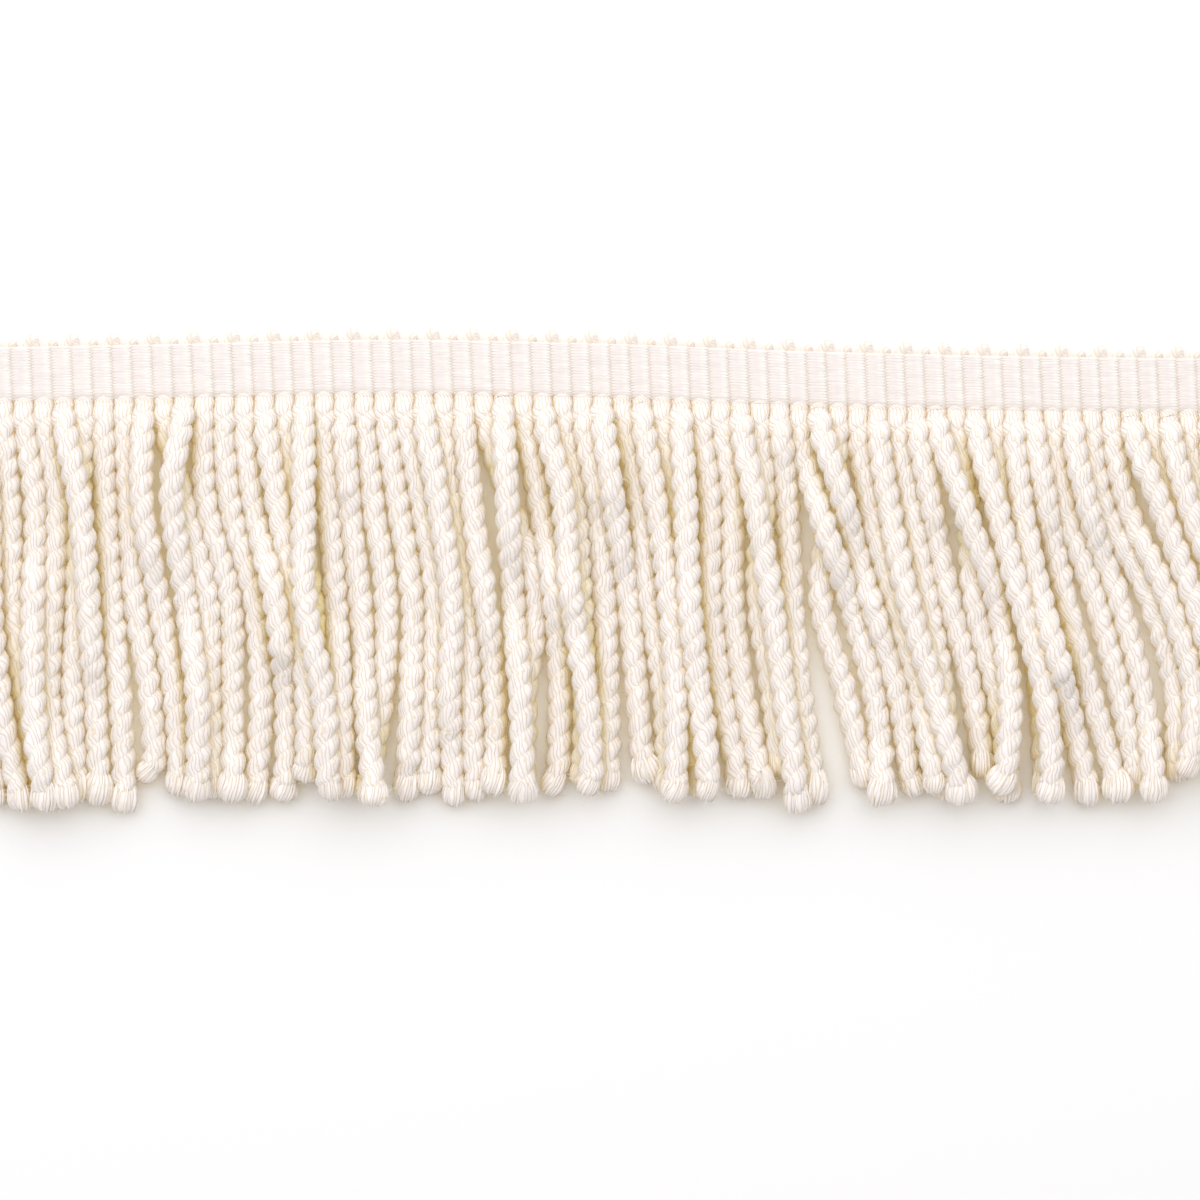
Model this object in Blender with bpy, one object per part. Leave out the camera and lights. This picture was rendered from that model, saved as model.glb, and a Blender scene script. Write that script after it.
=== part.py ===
"""Bullion fringe trim: a ribbed woven heading and a row of twisted cords, lying flat. Metres, +Z up.

The sizes below are in millimetres. X runs along the trim, the heading lies towards +Y, the cords hang
towards -Y, and the underside lies on Z = 0.
"""

import bisect
import math
from collections import namedtuple

import bmesh
import bpy

MM = 0.001

# The heading has one rib for each cord, and the ribs crowd a little towards the right-hand end.
RIB_COUNT = 66
RIB_PITCH = 3.3
RIB_CROWDING = 0.00116
FIRST_GROOVE_X = -109.2
HEADING_DEPTH = 9.6
HEADING_THICKNESS = 2.7
GROOVE_THICKNESS = 2.1
RIB_LEAN = 0.5
LARGE_LOOP = 0.9
SMALL_LOOP = 0.45
LOOP_NOTCH = 0.5
LOOP_THICKNESS = 1.5

# The cords: two plies twisted together, so that a cord is as wide as its two plies side by side.
CORD_RADIUS = 1.85
STACKING_DISTANCE = 3.5
SIDE_BY_SIDE = 3.3
SOLID_RADIUS = 1.5
SOLID_SIDES_RESOLUTION = 1
ROOT_HEIGHT = 1.4
SPINE_DEPTH = 1.6
SPINE_THICKNESS = 2.4
PIECE_GAP = 0.3
TIP_TAPER = 1.3
TIP_RADIUS_SHARE = 0.6
STRAIGHT_RUNS = 6

# How the cords settle: the trim is cut into levels, and a cord sinks between supports as it goes down.
LEVEL_TOP = 34.0
LEVEL_STEP = 1.1
LEVEL_COUNT = 66
SAG = 0.042
TIP_SLOPE = 0.45
ROOT_SQUEEZE = 0.2
ROOT_SQUEEZE_LENGTH = 2.0
SETTLING_PASSES = 300

# The middle of the box around the trim, which becomes the origin.
BOX_MIDDLE_X = 3.555
BOX_MIDDLE_Y = 4.483

# Rise of the heading's middle line at stations along the trim.
HEADING_LINE = (
    (-110.0, 37.0),
    (-75.0, 37.6),
    (-35.0, 38.4),
    (0.0, 37.8),
    (35.0, 36.5),
    (75.0, 35.6),
    (108.0, 35.3),
)

# One row for each cord from left to right: how far it has drifted along X at a quarter, half and three
# quarters of its drop and at its tip, its drop, the layer it lies in and how far its tip turns sideways.
CordLie = namedtuple("CordLie", "quarter half three_quarters tip drop layer curl")
CORD_LIES = tuple(
    CordLie(*row)
    for row in (
        (0.8, 1.0, 2.2, 5.5, 66.0, 1, 0.0),
        (1.6, 2.2, 3.6, 6.0, 66.5, 0, 0.0),
        (1.2, 1.5, 3.2, 6.8, 67.0, 2, 0.0),
        (1.0, 1.8, 3.8, 6.4, 66.5, 0, 0.0),
        (2.0, 1.7, 2.0, 4.0, 67.0, 2, 0.0),
        (2.3, 1.5, 1.1, 4.4, 66.5, 1, 0.0),
        (2.8, 4.2, 5.2, 5.9, 66.0, 3, 0.0),
        (-0.7, -1.1, -1.8, -0.9, 65.5, 0, 0.0),
        (0.3, 1.4, 2.8, 3.5, 67.5, 2, 0.0),
        (0.8, 1.6, 4.1, 5.6, 63.0, 1, -1.6),
        (-0.2, 2.3, 5.0, 5.9, 65.0, 2, 0.0),
        (3.1, 7.2, 7.5, 8.5, 65.5, 0, 0.0),
        (-1.9, 0.4, 2.4, 2.2, 66.0, 2, 0.0),
        (0.2, 4.3, 4.6, 4.9, 66.0, 3, 0.0),
        (0.8, 4.9, 6.0, 4.9, 66.5, 1, 0.0),
        (1.3, 5.2, 6.9, 6.7, 66.5, 2, -0.4),
        (2.0, 4.7, 7.0, 6.9, 63.5, 1, 0.0),
        (1.8, 4.4, 6.5, 7.0, 64.0, 0, 0.0),
        (0.0, 0.3, 3.3, 4.1, 66.5, 2, 0.5),
        (0.7, 1.8, 2.8, 3.5, 66.0, 1, 0.0),
        (0.8, 2.6, 3.6, 5.4, 67.5, 3, 0.0),
        (1.3, 3.6, 2.9, 0.1, 66.5, 1, 0.0),
        (2.1, 4.6, 4.4, 3.6, 66.5, 2, 0.0),
        (2.6, 5.1, 4.4, 3.8, 65.5, 1, 0.0),
        (2.3, 4.6, 4.2, 5.1, 67.5, 3, 0.0),
        (1.5, 3.8, 4.4, 5.4, 66.5, 0, 0.0),
        (1.3, 3.4, 5.1, 5.1, 65.5, 2, 0.0),
        (3.8, 8.7, 7.0, 6.5, 64.0, 0, 0.0),
        (0.7, 1.6, 2.9, 3.3, 67.0, 2, 0.0),
        (2.5, 5.1, 6.0, 5.6, 65.5, 1, -0.8),
        (3.3, 4.6, 7.2, 8.2, 65.5, 3, -0.6),
        (2.2, 3.0, 3.6, 3.4, 64.0, 0, 0.0),
        (2.3, 3.6, 4.1, 4.1, 64.5, 1, 0.0),
        (1.7, 4.1, 5.6, 6.9, 63.0, 3, 0.8),
        (2.6, 4.4, 6.9, 7.4, 64.5, 0, 0.0),
        (2.3, 4.6, 5.6, 5.6, 66.0, 2, -0.3),
        (2.3, 3.9, 5.2, 6.4, 65.0, 0, 0.0),
        (0.7, 1.3, 3.1, 4.9, 65.5, 2, -0.5),
        (1.5, 1.6, 3.6, 7.0, 65.0, 2, 0.0),
        (2.0, 2.0, 4.0, 7.6, 65.0, 1, 0.0),
        (2.5, 5.2, 7.5, 9.6, 67.0, 3, 0.0),
        (0.7, -0.3, 1.8, 3.6, 61.0, 0, 0.0),
        (1.3, 2.1, 3.6, 6.2, 65.0, 2, 0.0),
        (3.0, 8.5, 12.6, 13.6, 65.5, 2, 0.0),
        (4.1, 8.5, 13.2, 15.2, 64.0, 3, 0.8),
        (-1.0, -2.9, 1.1, 4.6, 62.5, 0, 0.6),
        (1.8, 5.9, 10.3, 12.9, 63.5, 1, 0.0),
        (1.8, 5.2, 9.8, 14.2, 65.0, 3, 0.0),
        (2.3, 5.1, 7.7, 8.4, 64.0, 0, 0.0),
        (2.3, 5.2, 8.8, 11.3, 60.5, 1, 0.0),
        (4.4, 9.8, 12.0, 11.0, 63.0, 3, -0.8),
        (2.1, 3.2, 7.2, 8.8, 64.5, 1, 0.0),
        (3.4, 7.6, 11.5, 12.6, 64.5, 2, -0.4),
        (1.5, 5.2, 7.5, 8.5, 63.5, 0, 0.0),
        (1.3, 4.7, 8.9, 12.6, 64.5, 2, 0.0),
        (2.2, 5.6, 9.9, 14.6, 64.0, 2, 0.0),
        (2.1, 6.9, 10.9, 14.1, 61.5, 0, 0.0),
        (2.5, 8.0, 11.9, 13.4, 64.0, 2, 0.0),
        (1.8, 9.3, 13.6, 13.6, 60.5, 0, 0.5),
        (2.5, 9.0, 13.2, 12.7, 60.0, 2, -0.5),
        (4.8, 10.2, 14.8, 17.0, 62.0, 3, 0.0),
        (4.0, 9.0, 12.3, 14.7, 61.5, 0, 0.0),
        (3.1, 9.0, 13.2, 15.6, 62.5, 2, 0.0),
        (2.5, 8.0, 12.0, 14.6, 62.0, 1, 0.0),
        (2.7, 7.6, 11.6, 14.0, 62.5, 2, 0.0),
        (2.4, 6.8, 10.4, 13.0, 62.0, 1, 0.0),
    )
)


def smooth_value(rows, at, level_start=False):
    """Read a smooth curve through rows of (station, value)."""
    stations = [row[0] for row in rows]
    values = [row[1] for row in rows]
    last = len(rows) - 1
    k = min(max(bisect.bisect_right(stations, at) - 1, 0), last - 1)

    def slope(i):
        if i == 0 and level_start:
            return 0.0
        before = max(i - 1, 0)
        after = min(i + 1, last)
        return (values[after] - values[before]) / (stations[after] - stations[before])

    width = stations[k + 1] - stations[k]
    t = (at - stations[k]) / width
    rise = (1 - t) ** 2 * (1 + 2 * t) * values[k] + t**2 * (3 - 2 * t) * values[k + 1]
    turn = t * (1 - t) ** 2 * slope(k) - t**2 * (1 - t) * slope(k + 1)
    return rise + width * turn


def groove_x(rib):
    """X of the groove at the left of a rib, whole or fractional, at the heading's lower edge."""
    return FIRST_GROOVE_X + RIB_PITCH * rib - RIB_CROWDING * (rib - 4) ** 2


def heading_y(x, across):
    """Y on the heading, with across running from 0 at its lower edge to 1 at its upper edge."""
    return smooth_value(HEADING_LINE, x) + (across - 0.5) * HEADING_DEPTH


def root_of(n):
    """Where cord n leaves the heading's lower edge."""
    x = groove_x(n + 0.5)
    return x, heading_y(x, 0.0)


def cord_x(n, y):
    """X of cord n's centre line at a level."""
    lie = CORD_LIES[n]
    x, y_root = root_of(n)
    rows = ((0, 0), (0.25, lie.quarter), (0.5, lie.half), (0.75, lie.three_quarters), (1, lie.tip))
    share = min(max((y_root - y) / lie.drop, 0.0), 1.0)
    return x + smooth_value(rows, share, level_start=True)


def level_y(j):
    return LEVEL_TOP - j * LEVEL_STEP


def lay_cords():
    """Height of each cord at its levels. The lowest layer is laid first, and each cord rests on the last."""
    order = sorted(range(RIB_COUNT), key=lambda n: (CORD_LIES[n].layer, n))
    laid = {}
    for n in order:
        y_root = root_of(n)[1]
        support = {}
        for j in range(LEVEL_COUNT):
            y = level_y(j)
            depth = y_root - y
            if not 0 <= depth <= CORD_LIES[n].drop + LEVEL_STEP:
                continue
            x = cord_x(n, y)
            slant = math.atan2(x - cord_x(n, y + LEVEL_STEP), LEVEL_STEP)
            squeeze = 1 - ROOT_SQUEEZE * math.exp(-depth / ROOT_SQUEEZE_LENGTH)
            rest = CORD_RADIUS
            for other, heights in laid.items():
                aside = abs(x - cord_x(other, y)) * math.cos(slant) / squeeze
                if j in heights and aside < SIDE_BY_SIDE:
                    rest = max(rest, heights[j] + math.sqrt(STACKING_DISTANCE**2 - aside**2) * squeeze)
            support[j] = rest
        laid[n] = settle(support)
    return laid


def settle(support):
    """Let a cord hang between what supports it, from the heading to its free tip."""
    levels = sorted(support)
    heights = dict(support)
    for _ in range(SETTLING_PASSES):
        heights[levels[0]] = ROOT_HEIGHT
        for j in levels[1:-1]:
            heights[j] = max(support[j], (heights[j - 1] + heights[j + 1]) / 2 - SAG)
        tip = levels[-1]
        heights[tip] = max(support[tip], heights[tip - 1] - TIP_SLOPE * LEVEL_STEP)
    return heights


def cord_point(n, y, laid):
    """A point of cord n's centre line at a level, in metres."""
    rows = sorted((-level_y(j), z) for j, z in laid[n].items())
    z = smooth_value(rows, min(max(-y, rows[0][0]), rows[-1][0]))
    return place(cord_x(n, y), y, z)


def place(x, y, z):
    return ((x - BOX_MIDDLE_X) * MM, (y - BOX_MIDDLE_Y) * MM, z * MM)


def material(name, colour, roughness):
    made = bpy.data.materials.new(name)
    made.use_nodes = True
    shader = made.node_tree.nodes["Principled BSDF"]
    shader.inputs["Base Color"].default_value = (*colour, 1.0)
    shader.inputs["Roughness"].default_value = roughness
    shader.inputs["Metallic"].default_value = 0.0
    return made


def add_object(name, data, skin=None):
    made = bpy.data.objects.new(name, data)
    if skin:
        data.materials.append(skin)
    bpy.context.scene.collection.objects.link(made)
    return made


def banded_mesh(name, columns, section):
    """Wrap a closed section along X: section(column) lists the section's points at that column."""
    points = [section(c) for c in range(columns + 1)]
    turns = len(points[0])
    bm = bmesh.new()
    bmesh.ops.create_grid(bm, x_segments=columns, y_segments=turns, size=1.0)
    for vert in bm.verts:
        column = round((vert.co.x + 1) / 2 * columns)
        turn = round((vert.co.y + 1) / 2 * turns)
        vert.co = points[column][turn % turns]
    bmesh.ops.remove_doubles(bm, verts=bm.verts, dist=1e-7)
    open_edges = [edge for edge in bm.edges if edge.is_boundary]
    bmesh.ops.holes_fill(bm, edges=open_edges)
    bmesh.ops.recalc_face_normals(bm, faces=bm.faces)
    mesh = bpy.data.meshes.new(name)
    bm.to_mesh(mesh)
    bm.free()
    return mesh


def heading_mesh():
    """The band: a flat underside, a rounded rib for each cord and a loop of weft above each groove."""
    steps = 3

    def section(column):
        rib, step = divmod(column, steps)
        in_groove = step == 0
        thickness = GROOVE_THICKNESS if in_groove else HEADING_THICKNESS
        loop = LARGE_LOOP if rib % 2 else SMALL_LOOP
        reach = loop if in_groove and 0 < rib < RIB_COUNT else -LOOP_NOTCH
        x_low = groove_x(column / steps)
        x_high = x_low - RIB_LEAN
        low = heading_y(x_low, 0.0)
        high = heading_y(x_high, 1.0)
        x_bend = x_high + 0.1 * RIB_LEAN
        return (
            place(x_low, low, 0),
            place(x_low, low, thickness),
            place(x_bend, high - 0.1 * HEADING_DEPTH, thickness),
            place(x_high, high + reach, LOOP_THICKNESS),
            place(x_high, high + reach, 0),
        )

    return banded_mesh("heading", RIB_COUNT * steps, section)


def spine_mesh():
    """The strip just below the heading that all the cords grow from."""

    def section(column):
        x = groove_x(column)
        top = heading_y(x, 0.0) - PIECE_GAP
        bottom = top - SPINE_DEPTH
        return (
            place(x, bottom, 0),
            place(x, bottom, SPINE_THICKNESS),
            place(x, top, SPINE_THICKNESS),
            place(x, top, 0),
        )

    return banded_mesh("bullion_skirt", RIB_COUNT, section)


def cord_tubes(laid):
    """One plain tube for each cord along the way it lies, with a tapered tip."""
    curve = bpy.data.curves.new("cord_tubes", "CURVE")
    curve.dimensions = "3D"
    curve.bevel_depth = SOLID_RADIUS * MM
    curve.bevel_resolution = SOLID_SIDES_RESOLUTION
    curve.use_fill_caps = True
    for n in range(RIB_COUNT):
        lie = CORD_LIES[n]
        y_root = root_of(n)[1]
        first = PIECE_GAP + SPINE_DEPTH / 2
        depths = [first + (lie.drop - first) * k / STRAIGHT_RUNS for k in range(STRAIGHT_RUNS)]
        depths += [lie.drop - TIP_TAPER, lie.drop]
        spline = curve.splines.new("POLY")
        spline.points.add(len(depths) - 1)
        for point, depth in zip(spline.points, depths):
            x, y, z = cord_point(n, y_root - depth, laid)
            point.co = (x, y, z, 1.0)
        spline.points[-1].radius = TIP_RADIUS_SHARE
        spline.points[-1].co.x += lie.curl * MM
    route = add_object("cord_routes", curve)
    graph = bpy.context.evaluated_depsgraph_get()
    mesh = bpy.data.meshes.new_from_object(route.evaluated_get(graph))
    bpy.data.objects.remove(route, do_unlink=True)
    made = add_object("cord_tubes", mesh)
    made.hide_render = True
    made.display_type = "WIRE"
    return made


def main():
    for old in list(bpy.data.objects):
        bpy.data.objects.remove(old, do_unlink=True)
    ivory = material("heading_yarn", (0.93, 0.88, 0.80), 0.75)
    cream = material("cord_yarn", (0.92, 0.86, 0.77), 0.85)
    add_object("heading", heading_mesh(), ivory)
    skirt = add_object("bullion_skirt", spine_mesh(), cream)
    tubes = cord_tubes(lay_cords())
    join = skirt.modifiers.new("join_cords", "BOOLEAN")
    join.operation = "UNION"
    join.solver = "EXACT"
    join.use_self = True
    join.object = tubes


main()
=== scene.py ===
"""Bullion fringe trim: a woven heading with turned weft along its top and a skirt of twisted cords.

Metres, +Z up. The trim lies flat with its heading towards +Y and its cords towards -Y.
"""

import bisect
import math
from collections import namedtuple

import bmesh
import bpy
import numpy as np
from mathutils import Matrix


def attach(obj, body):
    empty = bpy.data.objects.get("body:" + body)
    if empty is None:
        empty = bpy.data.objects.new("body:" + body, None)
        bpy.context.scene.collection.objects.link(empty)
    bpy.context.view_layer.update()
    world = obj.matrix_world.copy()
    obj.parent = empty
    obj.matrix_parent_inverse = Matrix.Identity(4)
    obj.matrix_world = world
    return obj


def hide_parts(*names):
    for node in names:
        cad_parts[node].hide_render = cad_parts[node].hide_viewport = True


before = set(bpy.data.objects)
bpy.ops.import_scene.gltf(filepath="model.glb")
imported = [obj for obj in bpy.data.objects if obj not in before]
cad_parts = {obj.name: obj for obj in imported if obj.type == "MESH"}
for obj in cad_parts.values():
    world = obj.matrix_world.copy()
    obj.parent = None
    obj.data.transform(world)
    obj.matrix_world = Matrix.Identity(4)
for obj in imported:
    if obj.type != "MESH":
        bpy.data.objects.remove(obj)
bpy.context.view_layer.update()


# --- The heading ----------------------------------------------------------------------------------
# A narrow band of warp-faced rep. Cotton ends run along it, packed so closely that they hide the
# weft, and every pass of weft makes one rib. Odd and even ends float over alternate ribs and dive
# between them.

# Sizes are in millimetres up to in_place, which moves points into the frame and makes them metres.
MM = 0.001
BOX_MIDDLE = (3.555, 4.483)
RIB_COUNT = 66
RIB_PITCH = 3.3
RIB_CROWDING = 0.00116
PITCH_RIB = 4
FIRST_GROOVE_X = -109.2
HEADING_DEPTH = 9.6
RIB_LEAN = 0.5
ENDS = 19
ROWS_PER_END = 4
ROWS_BELOW = 19
RIB_STATIONS = (0.0, 0.04, 0.12, 0.28, 0.5, 0.72, 0.88, 0.96)
RIB_TOP = 2.66
GROOVE_TOP = 2.35
RIB_BOTTOM = 0.04
GROOVE_BOTTOM = 0.45
GROOVE_STEEPNESS = 6
FLOAT_RELIEF = 0.04
FLOAT_ROUNDNESS = 0.98
DIVE_RELIEF = 0.42
DIVE_STEEPNESS = 12
GROOVE_SWING = 0.12
SWING_START = 0.7
SWING_RANGE = 0.3
BRIGHT_SHARE = 0.6
DARK_START = 0.84
DARK_RANGE = 0.16
GROOVE_PAINTED_SHADE = 0.15
DIVE_PAINTED_SHADE = 0.65
LOWER_EDGE = 0.2
LOWER_SLOPE = 1.4
LOWER_DROP = 0.45
UPPER_EDGE = 0.3
EDGE_ROUNDNESS = 0.7
WOVEN_SHARE = 0.935
HEADING_LINE = (
    (-110.0, 37.0),
    (-75.0, 37.6),
    (-35.0, 38.4),
    (0.0, 37.8),
    (35.0, 36.5),
    (75.0, 35.6),
    (108.0, 35.3),
)


def smooth_value(rows, at, level_start=False):
    """Read a smooth curve through rows of (station, value)."""
    stations = [row[0] for row in rows]
    values = [row[1] for row in rows]
    last = len(rows) - 1
    k = min(max(bisect.bisect_right(stations, at) - 1, 0), last - 1)

    def slope(i):
        if i == 0 and level_start:
            return 0.0
        before = max(i - 1, 0)
        after = min(i + 1, last)
        return (values[after] - values[before]) / (stations[after] - stations[before])

    width = stations[k + 1] - stations[k]
    t = (at - stations[k]) / width
    rise = (1 - t) ** 2 * (1 + 2 * t) * values[k] + t**2 * (3 - 2 * t) * values[k + 1]
    turn = t * (1 - t) ** 2 * slope(k) - t**2 * (1 - t) * slope(k + 1)
    return rise + width * turn


def groove_x(rib):
    """X of the groove at the left of a rib, whole or fractional, at the heading's lower edge."""
    return FIRST_GROOVE_X + RIB_PITCH * rib - RIB_CROWDING * (rib - PITCH_RIB) ** 2


def heading_y(x, across):
    """Y on the heading, with across running from 0 at its lower edge to 1 at its upper edge."""
    return smooth_value(HEADING_LINE, x) + (across - 0.5) * HEADING_DEPTH


def in_place(points):
    """Points in millimetres, moved into the frame, in metres."""
    return (np.asarray(points) - (*BOX_MIDDLE, 0.0)) * MM


def add_piece(name, mesh, skin):
    made = bpy.data.objects.new(name, mesh)
    mesh.materials.append(skin)
    bpy.context.scene.collection.objects.link(made)
    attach(made, "root")
    return made


def wrapped_mesh(name, points, yarns, values):
    """A closed skin over points[station][turn], with yarns[station][turn] as its UV map.

    The last turn lies on the first, and the two open ends are capped. Each of the values is an
    attribute of the points. One is a mask of painted shade, 0 in the open and 1 far down
    between neighbours.
    """
    stations, turns = points.shape[:2]
    bm = bmesh.new()
    bmesh.ops.create_grid(bm, x_segments=stations - 1, y_segments=turns - 1, size=1.0)
    layer = bm.loops.layers.uv.new("yarns")
    flat_points = points.transpose(1, 0, 2).reshape(-1, 3)
    flat_yarns = yarns.transpose(1, 0, 2).reshape(-1, 2)
    for value_name, value in values.items():
        column = bm.verts.layers.float.new(value_name)
        for vert, amount in zip(bm.verts, value.T.reshape(-1)):
            vert[column] = amount
    for vert, place in zip(bm.verts, flat_points):
        vert.co = place
    for face in bm.faces:
        for loop in face.loops:
            loop[layer].uv = flat_yarns[loop.vert.index]
        face.smooth = True
    bmesh.ops.remove_doubles(bm, verts=bm.verts, dist=1e-7)
    loose = [edge for edge in bm.edges if not edge.link_faces]
    bmesh.ops.delete(bm, geom=loose, context="EDGES")
    bmesh.ops.holes_fill(bm, edges=[edge for edge in bm.edges if edge.is_boundary])
    bmesh.ops.recalc_face_normals(bm, faces=bm.faces)
    mesh = bpy.data.meshes.new(name)
    bm.to_mesh(mesh)
    bm.free()
    return mesh


def heading_mesh():
    """The woven band. Its ends lie along X, and at every groove they swing aside and dive."""
    rows = ENDS * ROWS_PER_END
    upper_rows = [row / rows for row in range(rows + 1)]
    lower_rows = [1 - row / ROWS_BELOW for row in range(ROWS_BELOW + 1)]
    turns = [(share, True) for share in upper_rows] + [(share, False) for share in lower_rows]
    turns.append(turns[0])
    per_rib = len(RIB_STATIONS)
    points, yarns, heading_shade_mask, strip = [], [], [], []
    for column in range(RIB_COUNT * per_rib + 1):
        rib, station = divmod(column, per_rib)
        share = RIB_STATIONS[station]
        side = abs(2 * share - 1)
        top = RIB_TOP - (RIB_TOP - GROOVE_TOP) * side**GROOVE_STEEPNESS
        bottom = RIB_BOTTOM + (GROOVE_BOTTOM - RIB_BOTTOM) * side**GROOVE_STEEPNESS
        relief = FLOAT_RELIEF + (DIVE_RELIEF - FLOAT_RELIEF) * side**DIVE_STEEPNESS
        swing = GROOVE_SWING * max(0, side - SWING_START) / SWING_RANGE
        # Painted shade near each groove, darker where the ends dive into it.
        dark = min(max((side - DARK_START) / DARK_RANGE, 0), 1)
        for across_rib, upper in turns:
            across = across_rib * WOVEN_SHARE
            x_low = groove_x(rib + share)
            end = across_rib * ENDS + (rib % 2) / 2
            off = abs(2 * (end % 1) - 1)
            if station == 0:
                off = 0.5
            zigzag = swing * math.cos(math.tau * end) * (1 if share < 0.5 else -1)
            x = x_low - RIB_LEAN * across + (zigzag if upper else 0)
            y = heading_y(x_low, across)
            dip = relief * (1 - math.sqrt(1 - FLOAT_ROUNDNESS * off**2)) if upper else 0
            lower = min(across * HEADING_DEPTH / LOWER_EDGE, 1)
            edge = min(lower, (WOVEN_SHARE - across) * HEADING_DEPTH / UPPER_EDGE, 1)
            round_off = 1 - math.sqrt(1 - (1 - edge) ** 2 * EDGE_ROUNDNESS)
            sloping = max(0, 1 - across * HEADING_DEPTH / LOWER_SLOPE)
            z = top - dip - LOWER_DROP * sloping**2 if upper else bottom
            z += ((top + bottom) / 2 - z) * round_off
            points.append((x, y, z))
            yarns.append((across_rib * ENDS, x))
            # Painted shade: most where an end dives into a groove, and full on the underside.
            heading_shade_mask.append(dark * (GROOVE_PAINTED_SHADE + DIVE_PAINTED_SHADE * off**3) if upper else 1)
            strip.append(1 if BRIGHT_SHARE < share < 1 else 0)
    shape = (RIB_COUNT * per_rib + 1, len(turns))
    points = np.array(points).reshape(*shape, 3)
    yarns = np.array(yarns).reshape(*shape, 2)
    values = {
        "shelter": np.array(heading_shade_mask).reshape(shape),
        "strip": np.array(strip).reshape(shape),
    }
    return wrapped_mesh("heading_weave", in_place(points), yarns, values)


def node(tree, kind, settings=(), **inputs):
    """Add a node with its settings, and fill or link its inputs, named or numbered as in _0."""
    made = tree.nodes.new(kind)
    for name, value in dict(settings).items():
        setattr(made, name, value)
    for name, value in inputs.items():
        key = int(name[1:]) if name[0] == "_" else name.replace("_", " ")
        socket = made.inputs[key]
        if isinstance(value, bpy.types.NodeSocket):
            tree.links.new(value, socket)
        else:
            socket.default_value = value
    return made


def calc(tree, operation, *values):
    inputs = {f"_{i}": value for i, value in enumerate(values)}
    return node(tree, "ShaderNodeMath", {"operation": operation}, **inputs).outputs[0]


DRIFT_ACROSS = 0.45
DRIFT_ALONG = 0.3
DRIFT_REACH = 2.4
FIBRES_ACROSS = 6.0
FIBRES_ALONG = 0.55
FIBRE_LEAN = 2.2
YARN_OFFSET = 3.7
CREASE_SHADE_START = 0.55
LOT_ALONG = 0.25
FIBRE_SHADE = 0.10
LOWEST_SHADE = 0.93
LOT_SHADE = 0.16
SMOOTHEST = 0.7
ROUGHNESS_RANGE = 0.25


def noise(tree, dimensions, place, detail, **more):
    """Noise from 0 to 1 at a place made of X, Y and, in three dimensions, Z."""
    at = node(tree, "ShaderNodeCombineXYZ", **place).outputs[0]
    settings = {"noise_dimensions": dimensions}
    made = node(tree, "ShaderNodeTexNoise", settings, Vector=at, Scale=1.0, Detail=detail, **more)
    return made.outputs["Fac"]


def colour_mix(tree, share, first, second):
    settings = {"data_type": "RGBA"}
    return node(tree, "ShaderNodeMix", settings, _0=share, _6=first, _7=second).outputs[2]


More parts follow.
